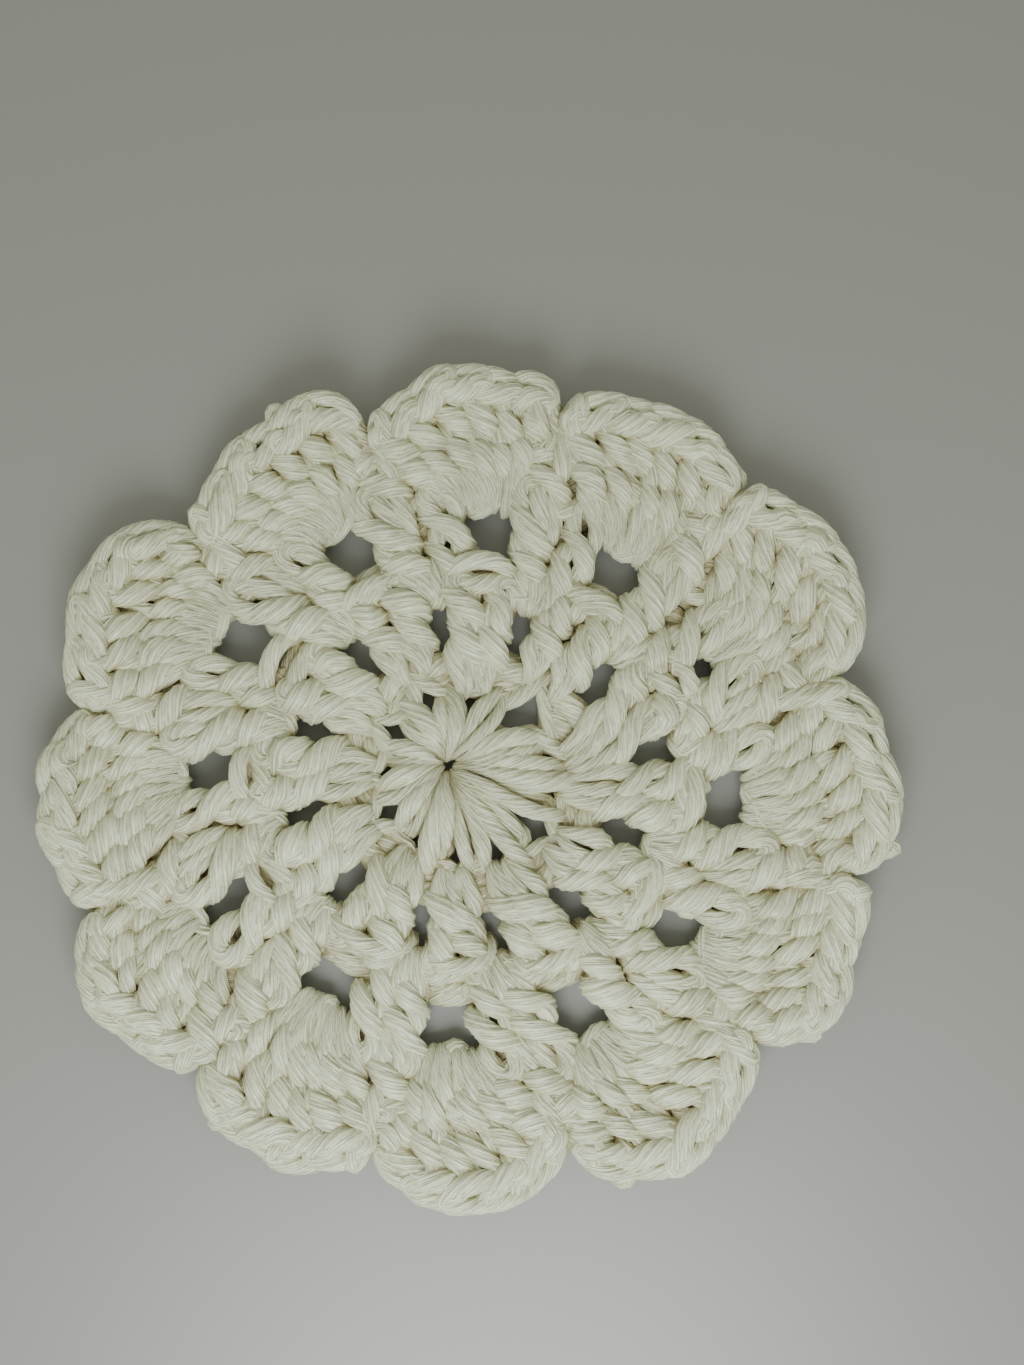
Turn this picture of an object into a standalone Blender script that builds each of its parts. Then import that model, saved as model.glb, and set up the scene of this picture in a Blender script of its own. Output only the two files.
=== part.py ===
# A flower-shaped crochet coaster, worked in rounds from the middle in one soft cotton yarn.
# Metres, +Z up. It lies flat on the XY plane, right side up, with its middle at the origin.
#
# The surface is laid out in the coaster's own terms: a place is (turn, station).
#   turn     counts repeats clockwise: 0 is the pair of posts before the top petal, 12 is all the way round
#   station  counts rounds outwards: 0 is the hub, 1 to 3 are the tops of rounds 1 to 3, 4 is the petals' edge
import math
from collections import namedtuple
from functools import partial

import bmesh
import bpy
from mathutils import Matrix, Vector

MM = 0.001

REPEATS = 12
HUB_SHIFT = Vector((-3.2, 2.3)) * MM   # the magic ring lies off the middle, as the rounds pulled it
HUB_TURN_DEG = -10.0                   # angle of turn 0 near the hub
ROUND_RADII = (0.0, 11.0 * MM, 22.4 * MM, 34.0 * MM)

# Angles in degrees clockwise from +Y, sizes in millimetres:
#   pair            where the pair of round-3 posts before this petal stands
#   gap, gap_out    where the large gap under the petal lies, and how far from the middle
#   gap_long        that gap's length outwards, and gap_wide its width
#   valley          where the valley before this petal lies, and valley_out how far from the middle
#   reach, peak     how far the petal reaches, and where between its valleys, as a share of its width
#   curl            how far the petal's underside lifts at its edge
Petal = namedtuple("Petal", "pair gap gap_out gap_long gap_wide valley valley_out reach peak curl")
PETALS = (
    Petal(350.2, 364.6, 36.3, 6.2, 5.6, 343.5, 51.0, 59.2, 0.76, 2.0),
    Petal(379.8, 395.9, 34.8, 5.4, 8.0, 373.6, 53.6, 60.8, 0.66, 1.6),
    Petal(409.7, 424.3, 36.1, 4.0, 4.2, 402.6, 55.4, 62.0, 0.56, 1.8),
    Petal(440.3, 454.5, 35.7, 5.2, 5.4, 433.1, 51.9, 59.6, 0.70, 1.9),
    Petal(469.0, 484.3, 34.9, 5.4, 5.4, 463.3, 54.5, 60.4, 0.56, 1.4),
    Petal(501.4, 515.5, 35.3, 8.0, 5.0, 491.5, 53.4, 60.2, 0.66, 1.2),
    Petal(529.7, 544.0, 33.5, 6.2, 6.2, 524.5, 51.2, 58.9, 0.60, 1.3),
    Petal(560.0, 573.5, 33.5, 5.4, 7.4, 554.9, 51.9, 59.4, 0.68, 1.1),
    Petal(590.9, 603.0, 36.7, 6.8, 4.0, 584.0, 52.3, 61.2, 0.64, 1.2),
    Petal(620.4, 632.7, 36.1, 6.2, 4.8, 611.7, 53.9, 60.0, 0.60, 1.7),
    Petal(649.1, 662.1, 35.7, 6.4, 8.0, 641.1, 55.0, 61.6, 0.70, 2.0),
    Petal(679.7, 692.5, 34.6, 8.4, 6.0, 672.2, 52.1, 59.4, 0.76, 2.2),
)
PETAL_FULLNESS = 0.55       # under 1 gives a broad petal with steep sides

# The small gap between two pairs of round 2, at the foot of each pair of round 3
SMALL_GAP_OUT = 22.6 * MM
SMALL_GAP_LONG = 4.2 * MM
SMALL_GAP_WIDE = 3.0 * MM
GAP_FLARE = 0.16            # a gap is this much wider at the top than half way down
GAP_SIDES = 10
GAP_SHOULDER = 0.55         # height left at a gap's very edge
CUTTER_HEIGHT = 30.0 * MM

# Height of the upper face by station, in millimetres: groove between posts, and ridge of a post
Level = namedtuple("Level", "station groove ridge")
LEVELS = (
    Level(0.00, 2.6, 2.6),
    Level(0.14, 3.0, 4.2),
    Level(0.60, 2.4, 4.6),
    Level(1.00, 3.2, 5.0),
    Level(1.50, 2.6, 5.0),
    Level(2.00, 3.4, 5.2),
    Level(2.50, 2.6, 5.4),
    Level(3.00, 3.6, 5.8),
    Level(3.45, 3.8, 5.8),
    Level(3.72, 4.5, 6.2),
    Level(3.86, 6.3, 7.1),
    Level(3.95, 5.8, 6.4),
)
EDGE_HEIGHT = 3.2 * MM       # mid height of the petals' rolled edge above their underside
FLAT_TO_STATION = 2.9        # the underside lies flat this far out, then lifts with the petals
VALLEY_LIFT = 0.55           # share of a petal's curl that is left in the valleys

# How far the columns of stitches gather towards the large gap (+) or the pair (-) at each station
Gather = namedtuple("Gather", "station amount")
GATHERS = (
    Gather(0.0, 0.0),
    Gather(1.0, 0.45),
    Gather(1.9, 0.0),
    Gather(2.15, -0.55),
    Gather(3.0, 0.42),
    Gather(3.7, 0.0),
    Gather(4.0, 0.0),
)

# Each round: its rings of points, columns to a repeat, and where in a repeat its posts stand
Round = namedtuple("Round", "stations columns posts half_width")
ROUNDS = (
    Round((0.14, 0.35, 0.65, 0.90), 4, (0.0,), 0.50),
    Round((1.02, 1.25, 1.60, 1.90), 9, (1 / 3, 2 / 3), 1 / 6),
    Round((2.05, 2.30, 2.65, 2.95), 12, (1 / 6, 5 / 6), 1 / 6),
    Round((3.10, 3.30, 3.50, 3.70, 3.80, 3.88, 3.95), 12,
          tuple((2 * post + 1) / 12 for post in range(6)), 1 / 12),
)
EDGE_STATION = 4.0
UNDER_STATIONS = (3.95, 3.60, 3.25, FLAT_TO_STATION)
UNDER_COLUMNS = 12


def between(table, station, column):
    """Read one named column of a table at a station, in straight lines between its rows."""
    rows = [(row.station, getattr(row, column)) for row in table]
    if station <= rows[0][0]:
        return rows[0][1]
    for (low, at_low), (high, at_high) in zip(rows, rows[1:]):
        if station <= high:
            return at_low + (at_high - at_low) * (station - low) / (high - low)
    return rows[-1][1]


def ease(value):
    """0 to 1 with a soft start and end."""
    value = min(max(value, 0.0), 1.0)
    return value * value * (3.0 - 2.0 * value)


def round_the_ring(column, turn, offset=0.0):
    """A petal column's angle at a turn, when row k stands at turn k + offset."""
    row = math.floor(turn - offset)
    share = turn - offset - row
    here = getattr(PETALS[row % REPEATS], column) + 360.0 * (row // REPEATS)
    after = getattr(PETALS[(row + 1) % REPEATS], column) + 360.0 * ((row + 1) // REPEATS)
    return here + (after - here) * share


def edge_radius(turn):
    """The petals' outline: a broad dome between two valleys."""
    row = math.floor(turn)
    share = turn - row
    petal = PETALS[row % REPEATS]
    after = PETALS[(row + 1) % REPEATS]
    low = petal.valley_out + (after.valley_out - petal.valley_out) * share
    climb = share / petal.peak if share < petal.peak else (1.0 - share) / (1.0 - petal.peak)
    return (low + (petal.reach - low) * math.sin(0.5 * math.pi * climb) ** PETAL_FULLNESS) * MM


def angle_and_radius(turn, station):
    """Where a turn and a station lie: the four rounds each have their own angles and radius."""
    angles = (
        30.0 * turn + HUB_TURN_DEG + 360.0,
        30.0 * turn + HUB_TURN_DEG + 360.0,
        round_the_ring("pair", turn),
        round_the_ring("gap", turn, offset=0.5),
        round_the_ring("valley", turn),
    )
    radii = ROUND_RADII + (edge_radius(turn),)
    low = min(int(station), 3)
    share = station - low
    return (angles[low] + (angles[low + 1] - angles[low]) * share,
            radii[low] + (radii[low + 1] - radii[low]) * share)


def polar(angle_deg, radius):
    """A point from an angle clockwise from +Y."""
    angle = math.radians(angle_deg)
    return Vector((math.sin(angle), math.cos(angle))) * radius


def plan(turn, station):
    """The place of a turn and a station on the XY plane."""
    share = turn - math.floor(turn)
    pull = between(GATHERS, station, "amount") * math.sin(2.0 * math.pi * share) / (2.0 * math.pi)
    angle, radius = angle_and_radius(turn + pull, station)
    return polar(angle, radius) + HUB_SHIFT * max(1.0 - station, 0.0)


def gaps():
    """Every gap as its middle, its outward direction, and its half length and half width."""
    found = []
    for petal in PETALS:
        out = polar(petal.gap, 1.0)
        found.append((out * petal.gap_out * MM, out, petal.gap_long * MM / 2, petal.gap_wide * MM / 2))
        out = polar(petal.pair, 1.0)
        found.append((out * SMALL_GAP_OUT, out, SMALL_GAP_LONG / 2, SMALL_GAP_WIDE / 2))
    return found


def shoulder(point, openings):
    """Share of the full height left at a point, less beside a gap, where the yarn rolls over."""
    left = 1.0
    for middle, out, half_long, half_wide in openings:
        away = point - middle
        across = away.x * out.y - away.y * out.x
        rings_out = math.hypot(away.dot(out) / half_long, across / half_wide)
        left = min(left, GAP_SHOULDER + (1.0 - GAP_SHOULDER) * ease(rings_out - 1.0))
    return left


def lift(turn, station):
    """Height of the underside: flat in the middle, then rising under the petals."""
    share = turn - math.floor(turn)
    curl = PETALS[math.floor(turn) % REPEATS].curl * MM
    low = min(curl, PETALS[(math.floor(turn) - 1) % REPEATS].curl * MM,
              PETALS[(math.floor(turn) + 1) % REPEATS].curl * MM) * VALLEY_LIFT
    rise = ease((station - FLAT_TO_STATION) / (EDGE_STATION - FLAT_TO_STATION))
    return rise * (low + (curl - low) * math.sin(math.pi * share))


def upper(turn, station, work_round, openings):
    """A point of the upper face, raised along the posts of its round."""
    share = turn - math.floor(turn)
    nearest = min(abs((share - post + 0.5) % 1.0 - 0.5) for post in work_round.posts)
    ridge = math.cos(0.5 * math.pi * min(nearest / work_round.half_width, 1.0))
    groove_height = between(LEVELS, station, "groove")
    ridge_height = between(LEVELS, station, "ridge")
    height = (groove_height + (ridge_height - groove_height) * ridge) * MM
    point = plan(turn, station)
    return (point.x, point.y, lift(turn, station) + height * shoulder(point, openings))


def add_ring(mesh, columns, place):
    """One closed ring of points, columns to a repeat, and its edges."""
    count = columns * REPEATS
    points = [mesh.verts.new(place(step / columns)) for step in range(count)]
    edges = [mesh.edges.new((points[step], points[(step + 1) % count])) for step in range(count)]
    return points, edges


def outer_edge(turn):
    """A point half way up the petals' rolled edge."""
    return (*plan(turn, EDGE_STATION), lift(turn, EDGE_STATION) + EDGE_HEIGHT)


def lower(turn, station):
    """A point of the underside."""
    return (*plan(turn, station), lift(turn, station))


def build_mat(openings):
    """The mat before its gaps are cut: rings from the hub over the petals' edge to the underside."""
    mesh = bmesh.new()
    rings = []
    for work_round in ROUNDS:
        for station in work_round.stations:
            place = partial(upper, station=station, work_round=work_round, openings=openings)
            rings.append(add_ring(mesh, work_round.columns, place))
    rings.append(add_ring(mesh, UNDER_COLUMNS, outer_edge))
    for station in UNDER_STATIONS:
        rings.append(add_ring(mesh, UNDER_COLUMNS, partial(lower, station=station)))
    for (_, inner_edges), (_, outer_edges) in zip(rings, rings[1:]):
        bmesh.ops.bridge_loops(mesh, edges=inner_edges + outer_edges)
    mesh.faces.new(rings[-1][0])
    hub = mesh.faces.new(rings[0][0])
    dimple = bmesh.ops.poke(mesh, faces=[hub])["verts"][0]
    dimple.co = (*HUB_SHIFT, LEVELS[0].ridge * MM)
    bmesh.ops.recalc_face_normals(mesh, faces=mesh.faces)
    data = bpy.data.meshes.new("coaster")
    mesh.to_mesh(data)
    mesh.free()
    return bpy.data.objects.new("coaster", data)


def build_cutter(openings):
    """Every gap as an upright oval plug, a little wider at its top."""
    mesh = bmesh.new()
    for middle, out, half_long, half_wide in openings:
        turned = Matrix((
            (out.y * half_wide, out.x * half_long, 0.0, middle.x),
            (-out.x * half_wide, out.y * half_long, 0.0, middle.y),
            (0.0, 0.0, 1.0, 0.0),
            (0.0, 0.0, 0.0, 1.0),
        ))
        bmesh.ops.create_cone(mesh, cap_ends=True, segments=GAP_SIDES, radius1=1.0 - GAP_FLARE,
                              radius2=1.0 + GAP_FLARE, depth=CUTTER_HEIGHT, matrix=turned)
    bmesh.ops.recalc_face_normals(mesh, faces=mesh.faces)
    data = bpy.data.meshes.new("gap_cutter")
    mesh.to_mesh(data)
    mesh.free()
    cutter = bpy.data.objects.new("gap_cutter", data)
    cutter.hide_render = True
    cutter.display_type = "WIRE"
    return cutter


def cotton():
    """Soft off-white cotton yarn."""
    material = bpy.data.materials.new("cotton_yarn")
    material.use_nodes = True
    shader = material.node_tree.nodes["Principled BSDF"]
    shader.inputs["Base Color"].default_value = (0.80, 0.79, 0.72, 1.0)
    shader.inputs["Roughness"].default_value = 0.92
    shader.inputs["Metallic"].default_value = 0.0
    return material


def collection(name):
    """A new collection in the scene."""
    made = bpy.data.collections.new(name)
    bpy.context.scene.collection.children.link(made)
    return made


def main():
    for old in list(bpy.data.objects):
        bpy.data.objects.remove(old, do_unlink=True)
    openings = gaps()
    mat = build_mat(openings)
    cutter = build_cutter(openings)
    corners = [Vector(corner) for corner in mat.bound_box]
    middle = (corners[0] + corners[6]) / 2
    for placed in (mat, cutter):
        placed.location = (-middle.x, -middle.y, 0.0)
    collection("coaster").objects.link(mat)
    collection("cutters").objects.link(cutter)
    cut = mat.modifiers.new("gaps", "BOOLEAN")
    cut.operation = "DIFFERENCE"
    cut.object = cutter
    mat.data.materials.append(cotton())


main()
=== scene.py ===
import math

import bpy
import numpy as np
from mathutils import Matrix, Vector


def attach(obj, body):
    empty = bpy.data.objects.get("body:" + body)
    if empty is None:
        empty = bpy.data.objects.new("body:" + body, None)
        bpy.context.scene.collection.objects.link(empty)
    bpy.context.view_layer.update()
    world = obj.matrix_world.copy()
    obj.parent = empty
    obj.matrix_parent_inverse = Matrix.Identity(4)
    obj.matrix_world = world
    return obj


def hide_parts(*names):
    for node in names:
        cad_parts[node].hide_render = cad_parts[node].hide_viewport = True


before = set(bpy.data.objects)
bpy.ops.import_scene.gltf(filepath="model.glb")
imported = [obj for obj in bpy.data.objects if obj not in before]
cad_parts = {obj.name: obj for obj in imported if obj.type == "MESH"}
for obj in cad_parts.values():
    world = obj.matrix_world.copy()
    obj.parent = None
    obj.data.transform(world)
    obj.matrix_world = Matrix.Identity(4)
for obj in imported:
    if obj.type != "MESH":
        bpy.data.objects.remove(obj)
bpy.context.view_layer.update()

# A flower-shaped crochet coaster in soft off-white cotton. Every stitch is laid as yarn, in millimetres,
# round by round from the middle, and turned to metres when its mesh is made. A place on the fabric is a
# turn, which counts petals clockwise from the top, and a station, which counts rounds outwards, from 0 at
# the ring in the middle to 4 at the petals' edge.
mm = 0.001
rng = np.random.default_rng(12)

# One row for each petal, clockwise from the top. Angles are in degrees clockwise from +Y, sizes in
# millimetres. The directions are those of the pair of posts in round 3 (pair), the large gap, the valley
# before the petal, and the pair of posts in round 2 (inner). gapOut, gapLong and gapWide place and size
# the gap. valleyOut and reach are how far out the valley and the petal's tip lie, peak is where round the
# petal that tip is, and a lower fullness makes the petal squarer. curl, in radians, and lift turn its
# edge up. eye widens the eye in round 1, middle is how far out station 2 lies, and slack draws round 2
# back from the slack loop.
petalColumns = ("pair", "gap", "gapOut", "gapLong", "gapWide", "valley", "valleyOut", "reach", "peak",
                "curl", "lift", "inner", "eye", "middle", "fullness", "slack")
petalRows = (
    (348.1, 364.2, 35.0, 7.2, 6.4, 343.5, 51.2, 59.6, 0.76, 0.63, 0.24, 359.6, 0.30, 23.0, 0.55, 1.6),
    (378.7, 397.2, 35.2, 7.8, 7.2, 373.6, 53.6, 60.5, 0.66, 0.57, 0.18, 399.1, 1.60, 22.5, 0.55, 0.0),
    (410.1, 424.3, 36.2, 5.0, 3.8, 402.6, 55.4, 62.0, 0.56, 0.63, 0.21, 443.0, 0.55, 24.1, 0.55, 1.0),
    (441.2, 455.8, 34.9, 8.6, 7.4, 433.1, 51.9, 59.6, 0.70, 0.60, 0.23, 453.4, 0.40, 28.6, 0.60, 1.0),
    (469.5, 487.3, 34.5, 10.0, 5.2, 463.3, 54.5, 59.8, 0.56, 0.54, 0.15, 486.9, 0.90, 24.0, 0.60, 0.0),
    (501.1, 516.5, 33.9, 11.2, 6.6, 491.5, 53.4, 59.8, 0.66, 0.51, 0.12, 521.1, 0.35, 23.9, 0.80, 0.0),
    (531.6, 545.4, 32.3, 11.0, 7.2, 524.5, 51.2, 58.3, 0.60, 0.54, 0.14, 551.2, 0.45, 22.3, 0.60, 0.0),
    (557.8, 574.2, 32.3, 10.0, 6.8, 554.9, 51.9, 58.4, 0.68, 0.48, 0.10, 578.6, 0.40, 22.9, 0.60, 0.0),
    (590.4, 605.4, 37.9, 9.2, 6.0, 584.0, 52.3, 60.8, 0.64, 0.51, 0.12, 608.9, 1.00, 24.5, 0.60, 1.0),
    (617.1, 632.5, 36.6, 8.0, 6.2, 611.7, 53.9, 60.0, 0.60, 0.57, 0.18, 635.0, 0.70, 25.3, 0.55, 1.4),
    (646.1, 663.2, 37.3, 8.6, 7.0, 641.1, 55.0, 61.6, 0.70, 0.63, 0.23, 660.1, 1.30, 24.5, 0.55, 2.4),
    (679.0, 692.4, 35.4, 9.0, 7.0, 672.2, 52.3, 59.6, 0.76, 0.63, 0.24, 690.3, 1.60, 24.5, 0.55, 0.0),
)
petals = [dict(zip(petalColumns, row)) for row in petalRows]
repeats = len(petals)

mat = {
    "hub": (-3.6, 2.0),            # the magic ring lies off the middle
    "inwards": 0.9,                # and the rounds inside the petals a little towards the top
    "hubTurn": 350.0,              # degrees clockwise from +Y to the first post of round 1
    "roundRadii": (0.0, 11.2, 22.9, 34.6),
    "middleHeight": 3.15,          # half the mat's thickness above the table
    "rimInset": 2.75,              # from the outline in to the middle of the petals' edge
    "bendFrom": 0.55,              # where along a petal its edge starts to turn up
    "bendTo": 1.4,                 # and where the turn ends, past the edge
    "liftShares": (0.55, 0.45),    # of a petal's lift, at its ends and added in its middle
    "centreShift": (0.0, 0.0),     # the mat's middle to the box's, found before the yarn is made
}

yarn = {
    "radius": 1.25,
    "plies": 8,
    "profile": (0.86, 0.99, 1.0),  # the yarn's edge across one ply: crease and two shoulders
    "lay": 17.0,                   # length of one full twist
    # sizes and lengths of the waves that make it uneven: of the twist,
    "layWaves": ((1.6, 9.0), (0.9, 3.7)),
    "wander": ((0.13, 4.3), (0.08, 1.9)),      # of each ply to the side,
    "swell": ((0.05, 3.3), (0.03, 7.0)),       # of each ply's thickness,
    "fatWave": (0.08, 3.1),        # and of the whole yarn's,
    "fatDrift": (1.3, 11.0),       # which comes and goes along it
    "fat": 1.02,
    "pressed": 0.5,                # below this height it flattens on the table
    "shortStep": 0.54,             # spacing of the rings in tight bends
    "longStep": 1.35,              # and on straight lengths
    "ringTurn": 0.42,              # the bend between two rings, in radians
    "fineStep": 0.25,              # spacing of the points that rings are chosen from
    "samePlace": 0.05,             # points closer than this are one
    "betweenRuns": 3.0,            # length left out of the pattern between two runs
}

# Stitches gather towards whole turns (minus) or midway between them (plus): station and how much.
gathers = ((0.0, 0.0), (1.0, 0.45), (1.9, 0.0), (2.15, -0.55), (3.0, 0.42), (3.7, 0.0), (4.0, 0.0))


def ringValue(column, turn, offset=0.0):
    # a petal column read round the ring, where row k stands at turn k + offset
    row = np.floor(turn - offset)
    share = turn - offset - row
    values = np.array([petal[column] for petal in petals])
    full = 360.0 if values[-1] - values[0] > 180.0 else 0.0
    index = row.astype(int)
    here = values[index % repeats] + full * (index // repeats)
    after = values[(index + 1) % repeats] + full * ((index + 1) // repeats)
    return here + (after - here) * share


def petalValue(column, turn):
    # a petal column, the same all over one petal
    values = np.array([petal[column] for petal in petals])
    return values[np.floor(turn).astype(int) % repeats]


def ease(value):
    value = np.clip(value, 0.0, 1.0)
    return value * value * (3.0 - 2.0 * value)


def outline(turn):
    # how far out the edge lies
    share = turn - np.floor(turn)
    low = ringValue("valleyOut", turn)
    peak = petalValue("peak", turn)
    climb = np.where(share < peak, share / peak, (1.0 - share) / (1.0 - peak))
    dome = np.sin(0.5 * np.pi * np.clip(climb, 0.0, 1.0)) ** petalValue("fullness", turn)
    return low + (petalValue("reach", turn) - low) * dome


def surface(turn, station):
    # middle of the fabric: plan place from the turn and station, height from the petals' bend
    turn = np.asarray(turn, float)
    station = np.asarray(station, float)
    share = turn - np.floor(turn)
    knots, pulls = zip(*gathers)
    turn = turn + np.interp(station, knots, pulls) * np.sin(2.0 * np.pi * share) / (2.0 * np.pi)
    share = turn - np.floor(turn)
    rim = outline(turn) - mat["rimInset"]
    # the petal's edge turns up along an arc, which starts at bendFrom
    bend = petalValue("curl", turn)
    start = mat["bendFrom"]
    along = np.clip(station - 3.0, 0.0, mat["bendTo"])
    over = np.clip((along - start) / (1.0 - start), 0.0, None)
    spread = (1.0 - start) / bend
    whole = start + spread * np.sin(bend)
    outwards = np.where(along < start, along, start + spread * np.sin(bend * over)) / whole
    rise = np.where(along < start, 0.0, spread * (1.0 - np.cos(bend * over))) / whole
    # each station has an angle and a radius, and a place between two stations lies between them
    angles = np.array([360.0 / repeats * turn + mat["hubTurn"], ringValue("inner", turn, 0.5),
                       ringValue("pair", turn), ringValue("gap", turn, 0.5), ringValue("valley", turn)])
    radii = np.array([np.full_like(turn, radius) for radius in mat["roundRadii"]] + [rim])
    radii[2] = ringValue("middle", turn)
    low = np.clip(np.floor(station), 0, 3).astype(int)
    part = np.where(station < 3.0, station - low, outwards)
    spots = tuple(np.indices(turn.shape))
    here, after = (low,) + spots, (low + 1,) + spots
    angle = np.radians(angles[here] + (angles[after] - angles[here]) * part)
    radius = radii[here] + (radii[after] - radii[here]) * part
    ends, middle = mat["liftShares"]
    lift = petalValue("lift", turn) * ease(station - 3.0) * (ends + middle * np.sin(np.pi * share))
    height = mat["middleHeight"] + (rim - mat["roundRadii"][3]) * rise + lift
    hub = np.clip(1.0 - station, 0.0, 1.0)
    inwards = mat["inwards"] * (1.0 - ease(station - 3.0))
    return np.stack((radius * np.sin(angle) + mat["hub"][0] * hub,
                     radius * np.cos(angle) + mat["hub"][1] * hub + inwards, height), axis=-1)


def fabricFrame(turn, station):
    # place, clockwise direction, outward direction and upward normal of the fabric
    small = 0.02
    place = surface(turn, station)
    outward = surface(turn, station + small) - surface(turn, station - small)
    sideways = surface(turn + small, station) - surface(turn - small, station)
    normal = np.cross(sideways, outward)
    outward /= np.linalg.norm(outward, axis=-1, keepdims=True)
    normal /= np.linalg.norm(normal, axis=-1, keepdims=True)
    return place, np.cross(outward, normal), outward, normal


class YarnRun:
    # one length of yarn, as points with the way out of the fabric, the width and the thickness at each
    def __init__(self):
        self.points, self.outs, self.sizes = [], [], []

    def add(self, points, outs, sizes):
        self.points.extend(points)
        self.outs.extend(outs)
        self.sizes.extend(sizes)


def postRecipe(wraps, step):
    # One post as (u, v, w, width, thickness): u clockwise in half widths of the post, v from foot to
    # head, w out of the fabric in yarn radii. The yarn-overs wind down it from top left to lower right,
    # steeper with a longer step.
    levels = {1: (0.0, 0.66, 1.0), 2: (0.0, 0.40, 0.72, 1.0)}[wraps]
    rows = []
    for level in reversed(levels[1:-1]):
        rows += [
            (-1.00, level + 1.7 * step, -0.75, 0.90, 1.0),
            (-1.25, level + 1.2 * step, 0.35, 0.95, 1.0),
            (-0.66, level + 0.6 * step, 1.30, 1.25, 0.98),
            (0.10, level - 0.1 * step, 1.65, 1.45, 0.96),
            (0.82, level - 0.8 * step, 1.30, 1.28, 0.98),
            (1.25, level - 1.4 * step, 0.25, 0.95, 1.0),
            (0.70, level - 1.7 * step, -0.95, 0.9, 1.0),
            (-0.35, level - 1.5 * step, -1.25, 1.4, 0.85),
        ]
    first = levels[1]
    rows += [
        (0.45, first * 0.45, -1.15, 1.6, 0.8),
        (0.05, 0.02, -1.15, 0.9, 1.0),
        (-0.10, -0.07, -0.20, 0.8, 1.0),
        (-0.35, -0.03, 0.70, 0.8, 1.0),           # the pulled-up loop: its left leg, turn and right leg
        (-0.58, first * 0.28, 1.05, 1.15, 0.95),
        (-0.80, first * 0.72, 1.10, 1.35, 0.92),
        (-0.55, first * 1.10, 0.35, 0.95, 0.9),
        (0.05, first * 1.14, 0.35, 0.9, 0.9),
        (0.42, first * 0.76, 1.05, 1.30, 0.92),
        (0.56, first * 0.30, 1.05, 1.15, 0.95),
        (0.40, -0.03, 0.70, 0.8, 1.0),
        (0.10, -0.07, -0.25, 0.8, 1.0),
        (0.00, 0.05, -1.15, 0.9, 1.0),
        (-0.50, first * 0.60, -1.15, 1.6, 0.8),
    ]
    for low, high in zip(levels[1:], levels[2:]):   # each further loop, pulled through the one below
        tall = high - low
        top = 1.0 if high == levels[-1] else 0.45
        rows += [
            (0.05, low - 0.02, -0.55, 0.95, 0.95),
            (-0.30, low + 0.06 * tall, 0.20, 0.9, 0.95),
            (-0.72, low + 0.36 * tall, 0.95, 1.2, 0.92),
            (-0.85, low + 0.80 * tall, 0.95, 1.35, 0.90),
            (-0.25, low + 1.10 * tall, top, 1.2, 0.9),
            (0.42, low + 0.88 * tall, 0.85, 1.3, 0.92),
            (0.70, low + 0.44 * tall, 0.85, 1.2, 0.92),
            (0.35, low + 0.04 * tall, -0.15, 0.9, 0.95),
            (0.35, low + 0.30 * tall, -1.05, 1.5, 0.8),
            (-0.35, low + 0.78 * tall, -1.05, 1.5, 0.8),
        ]
    return np.array(rows)


# A post of round 1 as two long leaves that rise out of the ring, in the same terms.
leafRows = np.array((
    (-0.20, 1.02, -0.70, 0.90, 1.0),
    (0.10, 0.55, -1.10, 1.50, 0.80),
    (0.00, 0.06, -1.00, 0.80, 1.0),
    (-0.10, -0.06, -0.20, 0.80, 1.0),
    (-0.40, 0.08, 0.75, 0.85, 0.95),
    (-0.80, 0.42, 1.20, 1.02, 1.05),
    (-0.92, 0.78, 1.00, 1.12, 1.05),
    (-0.50, 1.10, 0.00, 0.70, 0.90),
    (0.10, 1.10, -0.50, 0.80, 0.90),
    (0.50, 1.06, 0.15, 0.70, 0.90),
    (0.92, 0.76, 1.05, 1.12, 1.05),
    (0.80, 0.42, 1.25, 1.02, 1.05),
    (0.40, 0.08, 0.80, 0.85, 0.95),
    (0.10, -0.06, -0.20, 0.80, 1.0),
    (0.00, 0.08, -1.00, 0.80, 1.0),
    (-0.30, 0.60, -1.10, 1.50, 0.80),
))

leafUneven = {"height": (-0.20, 0.12), "out": (-0.55, 0.55), "width": (0.88, 1.10)}


def leafRecipe():
    # both leaves with a length, a height and a width of their own
    recipe = leafRows.copy()
    for leaf in (slice(4, 8), slice(9, 13)):
        recipe[leaf, 1] *= 1.0 + rng.uniform(*leafUneven["height"])
        recipe[leaf, 2] += rng.uniform(*leafUneven["out"])
        recipe[leaf, 3] *= rng.uniform(*leafUneven["width"])
    return recipe


# A chain link from one stitch's head to the next, as (t, v, w, width, thickness): t the share of the way,
# v millimetres up the fabric, w out of it in yarn radii.
linkRecipe = np.array((
    (-0.32, -0.9, 0.10, 0.85, 1.0),
    (-0.08, -1.15, 1.10, 1.05, 0.95),
    (0.42, -0.75, 1.60, 1.32, 0.92),
    (0.95, 0.15, 1.10, 1.15, 0.92),
    (1.36, 0.95, 0.10, 0.85, 1.0),
    (1.00, 1.40, -0.35, 0.95, 0.95),
    (0.40, 1.40, -0.25, 1.10, 0.95),
    (-0.10, 0.6, -0.85, 0.9, 1.0),
    (0.30, -0.7, -1.15, 1.0, 1.0),
))

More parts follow.
